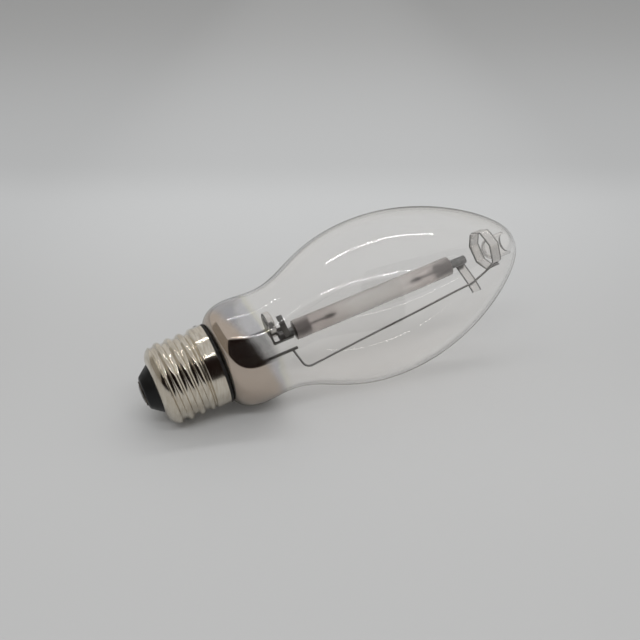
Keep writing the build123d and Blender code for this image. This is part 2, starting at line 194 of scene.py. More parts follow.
def rounded(stops, radius, steps=8):
    """Replaces each corner of a flat path by an arc: the corner is cut back by radius times
    the tangent of half its turn, and the arc runs between the cuts."""
    stops = [np.array(stop, float) for stop in stops]
    path = [stops[0]]
    for before, corner, after in zip(stops, stops[1:], stops[2:]):
        into = (corner - before) / np.linalg.norm(corner - before)
        out = (after - corner) / np.linalg.norm(after - corner)
        turn = math.acos(np.clip(into @ out, -1, 1))
        if turn < STRAIGHT_ENOUGH:
            path.append(corner)
            continue
        cut = radius * math.tan(turn / 2)
        share = np.linspace(0, 1, steps + 1)[:, None] * turn
        side = (out - into * math.cos(turn)) / math.sin(turn)
        arc = np.sin(share) * into + (1 - np.cos(share)) * side
        path.extend(corner - into * cut + radius * arc)
    path.append(stops[-1])
    return np.array(path)


# %% [markdown]
# A wire's section is a circle, and a strip's is a rectangle with round corners. The section
# is laid across the path at each of its points.

# %% Sections carried along a path
CORNER_POINTS = 5
CAP_SHARES = (0.0, 0.45, 0.85)


def round_section(radius, count):
    """Points round a circle."""
    turn = around(count)
    return radius * np.column_stack([np.cos(turn), np.sin(turn)])


def strip_section(width, thickness, edge=0.04):
    """A rectangle whose four corners are arcs of the edge's radius."""
    corner, step = np.divmod(np.arange(4 * CORNER_POINTS), CORNER_POINTS)
    turn = math.pi / 2 * (corner + step / (CORNER_POINTS - 1))
    facing = math.pi / 2 * (corner + 0.5)
    x = (width / 2 - edge) * np.sign(np.cos(facing)) + edge * np.cos(turn)
    y = (thickness / 2 - edge) * np.sign(np.sin(facing)) + edge * np.sin(turn)
    return np.column_stack([x, y])


def carried(name, path, across, section, end=0.0):
    """Carries a section along a path of places: each ring is the path's point + x across
    + y (across x run). Ends close on their middles, drawn in by a small round."""
    path = np.array(path, float)
    run = np.gradient(path, axis=0)
    run /= np.linalg.norm(run, axis=1, keepdims=True)
    across = np.broadcast_to(np.array(across, float), path.shape)
    across = across - run * np.sum(across * run, axis=1, keepdims=True)
    across /= np.linalg.norm(across, axis=1, keepdims=True)
    side = np.cross(across, run)
    rings = path[:, None] + MM * (
        section[None, :, :1] * across[:, None] + section[None, :, 1:] * side[:, None]
    )
    first, last = rings[:1], rings[-1:]
    caps = []
    for ring, middle_point, step in ((first, path[0], -run[0]), (last, path[-1], run[-1])):
        share = np.array(CAP_SHARES)[:, None, None]
        cap = middle_point + (ring - middle_point) * share
        caps.append(cap + step * end * MM * np.sqrt(1 - share**2))
    points = np.concatenate([caps[0], rings, caps[1][::-1]])
    return surface(name, points)


# %% [markdown]
# ## Shader maths
#
# A finish is a few nodes. Maths on node sockets reads best as plain expressions, so one
# small class wraps a socket and turns operators into Math nodes, and one method makes any
# other node from its type, its settings and its inputs.

# %% Sockets that can be added and multiplied
class Wire:
    """A node's output that takes part in expressions."""

    def __init__(self, shader, socket):
        self.shader = shader
        self.socket = socket

    def maths(self, operation, *values):
        return self.shader.node("ShaderNodeMath", {"operation": operation}, dict(enumerate(values)))

    def __add__(self, other):
        return self.maths("ADD", self, other)

    def __sub__(self, other):
        return self.maths("SUBTRACT", self, other)

    def __rsub__(self, other):
        return self.maths("SUBTRACT", other, self)

    def __mul__(self, other):
        return self.maths("MULTIPLY", self, other)

    def step(self, low, high):
        """0 below low, 1 above high, and a smooth run between them."""
        return self.shader.node(
            "ShaderNodeMapRange",
            {"interpolation_type": "SMOOTHSTEP"},
            {"Value": self, "From Min": low, "From Max": high},
        )

    __radd__ = __add__
    __rmul__ = __mul__


# %% [markdown]
# The second class holds a finish that is under construction. It knows places on the lamp,
# noise, blends and shaders, all made by the same method.

# %% A finish under construction
class Shader:
    """A material under construction."""

    def __init__(self, name):
        self.material = bpy.data.materials.new(name)
        self.material.use_nodes = True
        self.tree = self.material.node_tree
        self.tree.nodes.clear()

    def node(self, kind, settings, inputs, output=0):
        """A node of one kind: first its settings, then its inputs, each a value or a wire."""
        made = self.tree.nodes.new(kind)
        for name, value in settings.items():
            setattr(made, name, value)
        for name, value in inputs.items():
            if isinstance(value, Wire):
                self.tree.links.new(value.socket, made.inputs[name])
            else:
                made.inputs[name].default_value = value
        return Wire(self, made.outputs[output])

    def place(self):
        """The point on the piece, in metres from the part's origin."""
        return self.node("ShaderNodeTexCoord", {}, {}, output="Object")

    def reach(self, direction):
        """The dot product of the point's place and a direction: how far it lies that way."""
        return self.node(
            "ShaderNodeVectorMath",
            {"operation": "DOT_PRODUCT"},
            {0: self.place(), 1: tuple(direction)},
            output="Value",
        )

    def measure(self, direction):
        """The point's distance from the contact tip in one direction, in millimetres."""
        return self.reach(direction / MM) - float(tip @ direction) / MM

    def station(self):
        return self.measure(along)

    def noise(self, scale, detail=4.0, roughness=0.55, stretch=None):
        """Noise with about scale features to the metre. A stretch makes them that many times
        finer along x, y and z, and the noise is then turned by the lamp's lean."""
        place = self.place()
        if stretch is not None:
            place = self.node(
                "ShaderNodeMapping",
                {},
                {"Vector": place, "Rotation": (0.0, math.asin(along[2]), 0.0), "Scale": stretch},
            )
        return self.node(
            "ShaderNodeTexNoise",
            {},
            {"Vector": place, "Scale": scale, "Detail": detail, "Roughness": roughness},
        )

    def blend(self, amount, first, second):
        """A colour mix: first where amount is 0, second where it is 1."""
        return self.node(
            "ShaderNodeMix",
            {"data_type": "RGBA"},
            {0: amount, 6: first, 7: second},
            output=2,
        )

    def bump(self, height, strength, distance):
        """A bent normal: the surface looks raised where height is large."""
        return self.node(
            "ShaderNodeBump",
            {},
            {"Height": height, "Strength": strength, "Distance": distance},
        )

    def principled(self, colour, roughness, others):
        """A Principled shader from its colour, its roughness and its other inputs."""
        inputs = {"Base Color": colour, "Roughness": roughness, **others}
        return self.node("ShaderNodeBsdfPrincipled", {}, inputs)

    def mixed(self, amount, first, second):
        """Two shaders mixed: first where amount is 0, second where it is 1."""
        return self.node("ShaderNodeMixShader", {}, {0: amount, 1: first, 2: second})

    def finish(self, shader):
        """Puts a shader on the material's output and gives the material."""
        out = self.tree.nodes.new("ShaderNodeOutputMaterial")
        self.tree.links.new(shader.socket, out.inputs["Surface"])
        print(self.material.name, "is a finish of", len(self.tree.nodes), "nodes")
        return self.material

    def plain_finish(self, colour, roughness, others):
        """A finish that is one Principled shader."""
        return self.finish(self.principled(colour, roughness, others))


def grey(level, warmth=0.0):
    """A neutral colour, warmed by lowering its blue and lifting its red a little."""
    return (level * (1 + warmth), level, level * (1 - warmth), 1.0)


# %% [markdown]
# ## The camera
#
# The lamp was photographed from the side of its screw base, from above, at arm's length.
# The place and the aim below were worked out from the outline of the glass and the run of
# the arc tube, and are given in millimetres in the part's own frame.

# %% Camera
CAMERA_PLACE = (-95.5, -196.2, 143.3)
CAMERA_AIM = (11.1, 38.2, 0.0)
CAMERA_LENS = 42.5

camera_data = bpy.data.cameras.new("camera")
camera = bpy.data.objects.new("camera", camera_data)
bpy.context.scene.collection.objects.link(camera)
camera_data.sensor_width = 36.0
camera_data.lens = CAMERA_LENS
camera_data.clip_start = 0.01
camera.location = Vector(CAMERA_PLACE) * MM
sight = Vector(CAMERA_AIM) * MM - camera.location
camera.rotation_euler = sight.to_track_quat("-Z", "Y").to_euler()
bpy.context.scene.camera = camera
print("camera to aim, in mm:", round(sight.length / MM, 1))

# %% [markdown]
# ## Glass
#
# The bulb is hard clear glass. A Principled shader with full transmission bends what is
# seen through it. Where the wall is seen edge on, more glass is in the way and it looks
# darker and a little olive, so Layer Weight mixes in a dark finish there. A transparent
# shader takes over for rays on their way to a lamp and for the light that rough surfaces
# gather, because light really does reach the arc tube through the glass.

# %% Clear glass
GLASS_TINT = (1.0, 0.993, 0.984, 1.0)
GLASS_RIM_COLOUR = (0.09, 0.09, 0.05, 1.0)
GLASS_RIM_COVER = 0.62
GLASS_RIM = (0.76, 0.96)
GLASS_LETS_BY = (1.0, 0.995, 0.99, 1.0)
GLASS_IOR = 1.5


def glass_in(shader):
    """Glass that bends sight, darkens to olive where the wall is seen edge on, and lets the
    light of lamps and of the room pass."""
    clear = shader.principled(GLASS_TINT, 0.0, {"IOR": GLASS_IOR, "Transmission Weight": 1.0})
    rim = shader.principled(GLASS_RIM_COLOUR, 0.4, {"Specular IOR Level": 0.2})
    edge_on = shader.node("ShaderNodeLayerWeight", {}, {"Blend": 0.5}, output="Facing")
    body = shader.mixed(edge_on.step(*GLASS_RIM) * GLASS_RIM_COVER, clear, rim)
    passing = shader.node("ShaderNodeBsdfTransparent", {}, {"Color": GLASS_LETS_BY})
    for ray in ("Is Shadow Ray", "Is Diffuse Ray"):
        seen_by = shader.node("ShaderNodeLightPath", {}, {}, output=ray)
        body = shader.mixed(seen_by, body, passing)
    return body


glass_shader = Shader("clear_glass")
clear_glass = glass_shader.finish(glass_in(glass_shader))

# %% [markdown]
# The inside of the neck carries a mirror film, left where the getter metal was flashed. By
# the base it is thick, brownish and mirrors well. Further on it is thin, grey and smoky,
# with a yellowish edge, and it ends short of the getter ring. Both borders lie further out
# on the side of the frame wire. The film is mixed over the glass by masks that fall along
# the axis, and noise makes their edges uneven.

# %% Mirror film on the glass
FILM_THICK, FILM_THICK_LEAN, FILM_THICK_COVER = (32.0, 36.0), 0.36, 0.5
FILM_THIN, FILM_THIN_LEAN, FILM_THIN_COVER = (38.0, 42.0), 0.1, 0.47
FILM_THICK_COLOUR = (0.56, 0.475, 0.40, 1.0)
FILM_THIN_COLOUR = (0.40, 0.40, 0.44, 1.0)
FILM_EDGE_COLOUR, FILM_EDGE = (0.60, 0.58, 0.32, 1.0), (0.35, 0.95)
FILM_OUTLINE_SHADE_TINT = (0.12, 0.11, 0.08, 1.0)
FILM_WANDER = 4.0

film_shader = Shader("mirror_film")
film_lean = film_shader.measure(frame_out)
film_place = film_shader.station() + (film_shader.noise(60.0, 3.0) - 0.5) * FILM_WANDER
film_thick = 1 - (film_place - film_lean * FILM_THICK_LEAN).step(*FILM_THICK)
film_thin = 1 - (film_place - film_lean * FILM_THIN_LEAN).step(*FILM_THIN)
film_colour = film_shader.blend(film_thin.step(*FILM_EDGE), FILM_EDGE_COLOUR, FILM_THIN_COLOUR)
film_colour = film_shader.blend(film_thick, film_colour, FILM_THICK_COLOUR)
# The specular tint darkens the film where it is seen edge on: painted shade along the neck's
# outline.
film_metal = film_shader.principled(
    film_colour, 0.05, {"Metallic": 1.0, "Specular Tint": FILM_OUTLINE_SHADE_TINT}
)
film_cover = film_thick * FILM_THICK_COVER + film_thin * FILM_THIN_COVER
mirror_film = film_shader.finish(film_shader.mixed(film_cover, glass_in(film_shader), film_metal))

# %% [markdown]
# ## The bulb
#
# The glass is blown in a mould, so it is one turned form of even wall: a neck, a shoulder,
# a slight waist, the long belly and the dome, where a hollow dimple is pushed in to steady
# the frame. Four smooth curves draw the outside. The inside is the outside moved in by the
# wall, which is a little uneven, as blown glass is, and that unevenness is what makes the
# view through it swim.

# %% Sizes and curves of the glass
GLASS_WALL = 0.8
NECK_START, NECK_END, NECK_RADIUS = 19.5, 24.2, 10.9
SHOULDER = (34.5, 17.45)
WAIST = (43.0, 17.05)
BELLY = (83.5, 27.09)
BULB_LENGTH = 134.8
DIMPLE_RADIUS, DIMPLE_LIP, DIMPLE_DEPTH = 3.4, 1.1, 9.4
CROWN = (BULB_LENGTH, DIMPLE_RADIUS + DIMPLE_LIP)
TO_SHOULDER, TO_WAIST, TO_BELLY, TO_CROWN = (0.9, 9.25), (3.0, 3.0), (12.0, 23.0), (27.0, 4.5)


def level_curve(start, reaches, stop, count, level_end=True):
    """A cubic curve that leaves level and arrives level, or square to the axis at the crown.
    Its two handles are as long as the two reaches. The last point is left to what follows."""
    start, stop = np.array(start), np.array(stop)
    leave = np.array([reaches[0], 0.0])
    arrive = np.array([-reaches[1], 0.0]) if level_end else np.array([0.0, reaches[1]])
    share = np.linspace(0, 1, count + 1)[:-1, None]
    rest = 1 - share
    return (
        rest**3 * start
        + 3 * rest**2 * share * (start + leave)
        + 3 * rest * share**2 * (stop + arrive)
        + share**3 * stop
    )


def straight(start, stop, radius, count):
    """Points at one radius from one station to another, without the last."""
    return [(station, radius) for station in np.linspace(start, stop, count + 1)[:-1]]


def arc(centre, radius, start, stop, count):
    """Points on a circle, centre + radius (cos turn, sin turn), between angles in degrees."""
    turn = np.radians(np.linspace(start, stop, count))
    return np.array(centre) + radius * np.column_stack([np.cos(turn), np.sin(turn)])


# %% [markdown]
# The outside runs from the end of the neck, inside the shell, to the bottom of the dimple.
# The wall lies inwards of it, square to the way it runs.

# %% Draw the outline
lip_station = BULB_LENGTH - DIMPLE_LIP
dimple_middle = BULB_LENGTH - DIMPLE_DEPTH + DIMPLE_RADIUS
outline = np.concatenate(
    [
        straight(NECK_START, NECK_END, NECK_RADIUS, 4),
        level_curve((NECK_END, NECK_RADIUS), TO_SHOULDER, SHOULDER, 25),
        level_curve(SHOULDER, TO_WAIST, WAIST, 9),
        level_curve(WAIST, TO_BELLY, BELLY, 39),
        level_curve(BELLY, TO_CROWN, CROWN, 55, level_end=False),
        arc((lip_station, CROWN[1]), DIMPLE_LIP, 0, -90, 8)[:-1],
        straight(lip_station, dimple_middle, DIMPLE_RADIUS, 5),
        arc((dimple_middle, 0.0), DIMPLE_RADIUS, 90, 180, 10),
    ]
)
run = np.gradient(outline, axis=0)
run[-1] = (0.0, -1.0)
run /= np.linalg.norm(run, axis=1, keepdims=True)
inward = np.column_stack([run[:, 1], -run[:, 0]])
print("points along the glass outline:", len(outline))

# %% Blow the bulb
AROUND_GLASS = 160
EVEN_UP_TO, UNEVEN_FROM = 30.0, 50.0
DIMPLE_RINGS = 16
WALL_WAVES = ((0.04, 2, 0.11, 0.0), (0.015, 3, -0.23, 1.0), (0.02, 0, 0.19, 0.5))


def waves(terms, azimuth, station=0.0):
    """The sum over the terms of share sin(rounds azimuth + climb station + phase)."""
    return sum(
        share * np.sin(rounds * azimuth + climb * station + phase)
        for share, rounds, climb, phase in terms
    )


azimuth = around(AROUND_GLASS)[None, :]
station_out, radius_out = outline[:, :1], outline[:, 1:]
fade_in = np.clip((station_out - EVEN_UP_TO) / (UNEVEN_FROM - EVEN_UP_TO), 0, 1)
wall = GLASS_WALL * (1 + waves(WALL_WAVES, azimuth, station_out) * fade_in)
wall[-DIMPLE_RINGS:] = GLASS_WALL
inner_station = station_out + wall * inward[:, :1]
inner_radius = radius_out + wall * inward[:, 1:]
inner_radius[-1] = 0.0
outside = turned(station_out, radius_out, azimuth)
inside = turned(inner_station, inner_radius, azimuth)
bulb = surface("blown_bulb", np.concatenate([outside, inside[::-1]]), closed_rows=True)
dress(bulb, [clear_glass, mirror_film], ["outer_bulb"])

# %% [markdown]
# The film lies on the inside of the glass only, so just the faces of the inner wall, from
# the neck up to the belly, get the second finish. A face belongs to the inner wall if its
# middle lies nearer the axis than the middle of the wall does.

# %% Faces that carry the film
FILMED_TO = 62.0


def lamp_measures(mesh):
    """Stations and radii of the middles of a mesh's faces, in millimetres."""
    centres = np.empty(len(mesh.polygons) * 3)
    mesh.polygons.foreach_get("center", centres)
    offset = centres.reshape(-1, 3) - tip
    stations = offset @ along
    radii = np.linalg.norm(offset - stations[:, None] * along, axis=1)
    return stations / MM, radii / MM


face_station, face_radius = lamp_measures(bulb.data)
crown_ring = int(outline[:, 0].argmax())
outer_radius = np.interp(face_station, outline[:crown_ring, 0], outline[:crown_ring, 1])
filmed = (face_station < FILMED_TO) & (face_radius < outer_radius - GLASS_WALL / 2)
bulb.data.polygons.foreach_set("material_index", filmed.astype(np.int32))
bulb.data.update()
print("faces with the mirror film:", int(filmed.sum()))

# %% [markdown]
# ## Metals
#
# The wires, strips and tubes have an uneven gloss where dies and rollers rubbed them. One
# function makes every bare metal here, with its colour, gloss and grain, and the ceramic of
# the arc tube's plugs too. Noise picks the patches that are darker and duller. The nickel
# wire, the dark strips and the tungsten are darker than bare metal: painted dark reflection
# on the wire and strips, painted shade on the tungsten.

# %% Metal finishes
COARSE_SHARE, FINE_SHARE, FINE_GRAIN = 0.7, 0.3, 7
WORN = (0.35, 0.68)
BUMP_DEPTH = 0.0002


def metal(name, colour, dull_colour, roughness, spread, grain, bump=0.0, metallic=1.0):
    """A metal, or with metallic at 0 a ceramic, whose colour goes from one to the other and
    whose roughness grows by spread, where noise of that grain is high."""
    shader = Shader(name)
    patches = shader.noise(grain, 5.0, 0.6)
    fine = shader.noise(grain * FINE_GRAIN, 3.0, 0.6)
    wander = (patches * COARSE_SHARE + fine * FINE_SHARE).step(*WORN)
    others = {"Metallic": metallic}
    if bump:
        others["Normal"] = shader.bump(fine, bump, BUMP_DEPTH)
    colour = shader.blend(wander, colour, dull_colour)
    return shader.plain_finish(colour, wander * spread + roughness, others)


# The nickel wire is darker than bare nickel: painted dark reflection, as the wire mirrors the dark
# room.
nickel_wire = metal("nickel_wire", grey(0.23, 0.02), grey(0.15, 0.06), 0.26, 0.18, 260.0, 0.15)
niobium = metal("niobium", grey(0.24, 0.0), grey(0.14, 0.02), 0.3, 0.2, 300.0, 0.15)
# The tungsten is near black so that the electrodes show as dark smudges through the milky tube:
# painted shade.
tungsten = metal("tungsten", grey(0.09, 0.0), grey(0.05, 0.02), 0.35, 0.2, 400.0, 0.1)
getter_metal = metal("getter_metal", grey(0.74, 0.03), grey(0.50, 0.05), 0.12, 0.12, 240.0, 0.1)
lead_wire = metal("lead_wire", grey(0.50, 0.16), grey(0.34, 0.2), 0.3, 0.2, 300.0, 0.15)
solder = metal("solder", grey(0.26, 0.01), grey(0.15, 0.03), 0.36, 0.2, 300.0, 0.3)
# The bracket and the getter strap are bright sheet metal like the getter ring; their near-black
# colour is painted dark reflection of the dark room.
strip_painted_dark = metal("strip_painted_dark", grey(0.09, 0.04), grey(0.05, 0.06), 0.28, 0.2, 260.0, 0.15)
contact_metal = metal(
    "contact_metal", (0.15, 0.13, 0.11, 1.0), (0.08, 0.07, 0.06, 1.0), 0.4, 0.2, 250.0, 0.15
)

# %% [markdown]
# ## The screw shell
#
# The shell is drawn brass sheet with a bright nickel plate, a little warm. It is rubbed in
# patches, and fine scratches run round it, so their noise is much finer along the lamp.

# %% Nickel plate
PLATE_COLOUR, RUBBED_COLOUR = (0.72, 0.67, 0.58, 1.0), (0.55, 0.49, 0.40, 1.0)
SCRATCH_STRETCH = (9.0, 1.0, 1.0)

shell_shader = Shader("nickel_plate")
rubbed = shell_shader.noise(120.0, 5.0, 0.6)
scratches = shell_shader.noise(160.0, 4.0, 0.6, SCRATCH_STRETCH)
rub = (rubbed * 0.5 + scratches * 0.5).step(0.38, 0.66)
nickel_plate = shell_shader.plain_finish(
    shell_shader.blend(rub, PLATE_COLOUR, RUBBED_COLOUR),
    rub * 0.12 + 0.15,
    {"Metallic": 1.0, "Normal": shell_shader.bump(scratches, 0.12, BUMP_DEPTH)},
)

# %% [markdown]
# The thread is rolled into the sheet, so both its crests and its roots are round: two arcs
# of one radius that run into each other. The surface is one function of station and
# azimuth. The shoulder where the sheet curls in over the insulator limits how far the
# first crest can stand out, and past the last turn the crest sinks into the plain skirt.

# %% Thread
THREAD_RADIUS, THREAD_DEPTH, THREAD_PITCH = 13.05, 0.9, 3.629
ROOT_RADIUS = THREAD_RADIUS - THREAD_DEPTH
FIRST_CREST, THREAD_FADES, THREAD_ENDS = 8.2, 18.6, 20.4
SHELL_START, SHELL_MOUTH_RADIUS, SHOULDER_BEND = 4.6, 8.3, 5.0
SKIRT_BEGINS, SKIRT_FULL, SKIRT_RADIUS = 19.3, 20.3, 13.1
RIM_STATION, RIM_ROUND = 24.4, 0.15
SHELL_WALL = 0.3
SHELL_ROWS, SHELL_COLUMNS = 220, 180


def crest_height(station, azimuth):
    """The height over the root: near a crest the top of one arc, and past a quarter pitch
    the mirror image of it, whose radius makes the two meet on one slope."""
    half = THREAD_PITCH / 2
    slope = 2 * math.atan(THREAD_DEPTH / half)
    radius = half / (2 * math.sin(slope))
    turns = (station - FIRST_CREST) / THREAD_PITCH + azimuth / (2 * math.pi)
    away = np.abs(turns - np.round(turns)) * THREAD_PITCH
    crest = THREAD_DEPTH - radius + np.sqrt(np.clip(radius**2 - away**2, 0, None))
    root = radius - np.sqrt(np.clip(radius**2 - (half - away) ** 2, 0, None))
    return np.where(away < half / 2, crest, root)


def smooth_step(value, low, high):
    """0 below low, 1 above high, with a level start and end."""
    share = np.clip((value - low) / (high - low), 0, 1)
    return share * share * (3 - 2 * share)


# %% [markdown]
# The shoulder is an arc from the mouth of the shell to the first crest. Its middle lies
# square to the chord's half, as far off as makes both ends lie on the arc.

# %% Middle of the shoulder's arc
chord = np.array([FIRST_CREST - SHELL_START, THREAD_RADIUS - SHELL_MOUTH_RADIUS])
chord_half = np.linalg.norm(chord) / 2
normal_in = np.array([chord[1], -chord[0]]) / np.linalg.norm(chord)
bend_centre = (
    np.array([SHELL_START, SHELL_MOUTH_RADIUS])
    + chord / 2
    + normal_in * math.sqrt(SHOULDER_BEND**2 - chord_half**2)
)
print("middle of the shoulder's arc, station and radius:", bend_centre.round(2))

# %% [markdown]
# The smaller of the thread and the shoulder gives the outside, the rim is rounded off, and
# the inside is the outside moved in by the sheet.

# %% Roll the shell
stations = np.linspace(SHELL_START, RIM_STATION, SHELL_ROWS)[:, None]
azimuth = around(SHELL_COLUMNS)[None, :]
bend_height = np.sqrt(np.clip(SHOULDER_BEND**2 - (stations - bend_centre[0]) ** 2, 0, None))
shoulder_limit = np.where(stations < FIRST_CREST, bend_centre[1] + bend_height, np.inf)
crest = crest_height(stations, azimuth) * (1 - smooth_step(stations, THREAD_FADES, THREAD_ENDS))
skirt = smooth_step(stations, SKIRT_BEGINS, SKIRT_FULL)
threaded = (ROOT_RADIUS + crest) * (1 - skirt) + SKIRT_RADIUS * skirt
outer = np.minimum(threaded, shoulder_limit)
rim_run = np.clip(stations - (RIM_STATION - RIM_ROUND), 0, RIM_ROUND)
outer = outer - (RIM_ROUND - np.sqrt(RIM_ROUND**2 - rim_run**2))
outside = turned(stations, outer, azimuth)
inside = turned(stations, outer - SHELL_WALL, azimuth)
shell = surface("rolled_screw_shell", np.concatenate([outside, inside[::-1]]), closed_rows=True)
dress(shell, nickel_plate, ["screw_shell"])

# %% [markdown]
# ## The contact end
#
# A button of black glass fills the curled end of the shell and carries the centre contact:
# a pressed eyelet with a low dome of solder. The glass has lost most of its gloss: fine
# dust and handling marks dull it in patches.

# %% Black glass
button_shader = Shader("black_glass")
dust = button_shader.noise(300.0, 5.0, 0.65).step(0.45, 0.75)
button_bump = button_shader.bump(button_shader.noise(500.0), 0.06, BUMP_DEPTH)
black_glass = button_shader.plain_finish(
    button_shader.blend(dust, grey(0.004, -0.05), grey(0.009, -0.04)),
    dust * 0.25 + 0.3,
    {"Specular IOR Level": 0.22, "Normal": button_bump},
)

# %% Button
INSULATOR_FACE, INSULATOR_TIP_RADIUS, INSULATOR_CORNER = 0.85, 5.0, 1.6
INSULATOR_BORE, INSULATOR_BACK, INSULATOR_BACK_RADIUS = 1.2, 8.5, 11.6
insulator_seat = SHELL_MOUTH_RADIUS - SHELL_WALL - SEAT_GAP
tip_corner = rounded(
    [
        (INSULATOR_FACE, INSULATOR_BORE),
        (INSULATOR_FACE, INSULATOR_TIP_RADIUS),
        (SHELL_START, insulator_seat),
    ],
    INSULATOR_CORNER,
    10,
)
button_outline = [
    *tip_corner,
    (SHELL_START + SHELL_WALL, insulator_seat),
    (INSULATOR_BACK, INSULATOR_BACK_RADIUS),
    (INSULATOR_BACK, INSULATOR_BORE),
]
button = lathe("insulator_button", button_outline, 128)
dress(button, black_glass, ["base_insulator"])

# %% [markdown]
# The eyelet is a flat disc with a round edge, and the solder stands on it as a low dome.

# %% Eyelet and solder
EYELET_FACE, EYELET_BORE, EYELET_RADIUS, EYELET_EDGE = 0.45, 0.35, 4.0, 0.2
eyelet_corner = rounded(
    [(EYELET_FACE, EYELET_BORE), (EYELET_FACE, EYELET_RADIUS), (INSULATOR_FACE, EYELET_RADIUS)],
    EYELET_EDGE,
)
eyelet = lathe("contact_disc", [*eyelet_corner, (INSULATOR_FACE, EYELET_BORE)])
dress(eyelet, contact_metal, ["contact_eyelet"])
SOLDER_RADIUS, SOLDER_HEIGHT = 2.96, 0.45
share = np.linspace(0, 1, 12)
dome = np.column_stack([SOLDER_HEIGHT * share**2, SOLDER_RADIUS * np.sin(share * math.pi / 2)])
drop = lathe("contact_solder_dome", [*dome, (SOLDER_HEIGHT, 0.0)], 64)
dress(drop, solder, ["contact_solder"])

# %% [markdown]
# ## The cement
#
# The glass is held in the shell by a dark cement that was baked in. A bead of it stands a
# little proud of the rim and is slightly ragged: sine waves round the ring move the points
# of its outer edge, by the shares given.

# %% Cement ring
GRIT_DEPTH = 0.0003
cement_shader = Shader("dark_cement")
grit = cement_shader.noise(900.0, 6.0, 0.7)
dark_cement = cement_shader.plain_finish(
    cement_shader.blend(grit.step(0.4, 0.7), grey(0.008, 0.05), grey(0.03, 0.1)),
    0.75,
    {"Normal": cement_shader.bump(grit, 0.6, GRIT_DEPTH)},
)
CEMENT_START, CEMENT_STEP = 20.4, 0.01
CEMENT_BEAD = [(24.95, 13.12), (25.2, 12.95), (25.22, 12.7), (25.0, 12.25), (24.65, 11.55)]
CEMENT_WAVES = ((0.05, 11, 0, 0.0), (0.04, 23, 0, 1.3), (0.03, 37, 0, 0.0))
WAVE_SHARES = (0, 0, 0, 0, 0.6, 1, 0, 0, 0, 0)
cement_seat = SKIRT_RADIUS - SHELL_WALL - SEAT_GAP
ring = np.array(
    [
        (CEMENT_START, NECK_RADIUS + SEAT_GAP),
        (CEMENT_START, cement_seat),
        (RIM_STATION + SEAT_GAP, cement_seat),
        (RIM_STATION + SEAT_GAP + CEMENT_STEP, SKIRT_RADIUS - SEAT_GAP),
        *CEMENT_BEAD,
        (NECK_END, NECK_RADIUS + SEAT_GAP),
    ]
)
azimuth = around(144)[None, :]
ragged = np.array(WAVE_SHARES)[:, None] * waves(CEMENT_WAVES, azimuth)
cement_points = turned(ring[:, :1] + ragged, ring[:, 1:] + 0.5 * ragged, azimuth)
cement = surface("cement_ring", cement_points, closed_rows=True)
dress(cement, dark_cement, ["base_cement"])

# %% [markdown]
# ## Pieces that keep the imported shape
#
# The stem, the leads in the base and the solder bead are right as packed. Their meshes are
# loose triangles, so a copy is joined up and shaded smoothly, and it stands for the node.

# %% Joined copies
def joined_copy(node, name, material):
    """A copy of a node's mesh, joined at its edges, in the node's own place."""
    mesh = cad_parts[node].data.copy()
    mesh.name = name
    mesh.materials.clear()
    tidy_mesh(mesh)
    piece = bpy.data.objects.new(name, mesh)
    bpy.context.scene.collection.objects.link(piece)
    return dress(piece, material, [node])


joined_copy("stem", "glass_stem", clear_glass)
joined_copy("centre_lead", "outer_centre_lead", lead_wire)
joined_copy("side_lead", "outer_side_lead", lead_wire)
joined_copy("side_solder", "rim_solder_bead", solder)

# %% [markdown]
# ## The arc tube
#
# The arc burns in a tube of sintered alumina, which is milky: light passes through it but is
# scattered on the way, so the darker plugs and the electrodes inside show as soft shadows.
# A rough transmission does just that. Near its ends the tube is also painted greyer, as
# painted shadow of the electrodes, so the wall's colour follows the station.

# %% Alumina
ARC_START, ARC_LENGTH, ARC_RADIUS, ARC_WALL = 52.0, 58.5, 3.3, 0.7
PLUG_LENGTH = 5.2
ELECTRODE_LENGTH = 10.2
ARC_END = ARC_START + ARC_LENGTH
SHADOW_BEHIND_TIP, SHADOW_BEYOND_TIP = 6.0, 9.0
ALUMINA_SHADOW_COLOUR, ALUMINA_UNSHADED_COLOUR = (0.92, 0.875, 0.855, 1.0), (1.0, 0.985, 0.97, 1.0)
ALUMINA_IOR, ALUMINA_CLEARNESS = 1.35, 0.93


def clear_of_electrode_shadow(shader):
    """1 along the middle of the arc tube, falling smoothly to 0 at each electrode, where the
    painted shadow lies.
    """
    station = shader.station()
    first = ARC_START + PLUG_LENGTH + ELECTRODE_LENGTH
    last = ARC_END - PLUG_LENGTH - ELECTRODE_LENGTH
    past_first = station.step(first - SHADOW_BEHIND_TIP, first + SHADOW_BEYOND_TIP)
    past_last = station.step(last - SHADOW_BEYOND_TIP, last + SHADOW_BEHIND_TIP)
    return past_first - past_last


tube_shader = Shader("arc_alumina")
# Painted shadow of the electrodes: the wall is greyer near each one.
tube_colour = tube_shader.blend(clear_of_electrode_shadow(tube_shader), ALUMINA_SHADOW_COLOUR, ALUMINA_UNSHADED_COLOUR)
arc_alumina = tube_shader.plain_finish(
    tube_colour,
    tube_shader.noise(420.0, 4.0, 0.6) * 0.1 + 0.38,
    {"IOR": ALUMINA_IOR, "Transmission Weight": ALUMINA_CLEARNESS},
)
PLUG_COLOUR, PLUG_DARK_COLOUR = (0.13, 0.108, 0.114, 1.0), (0.11, 0.092, 0.096, 1.0)
plug_alumina = metal("plug_alumina", PLUG_COLOUR, PLUG_DARK_COLOUR, 0.4, 0.1, 420.0, metallic=0.0)
frit_glass = metal("sealing_frit", grey(0.30, 0.03), grey(0.20, 0.03), 0.4, 0.2, 400.0, 0.2)

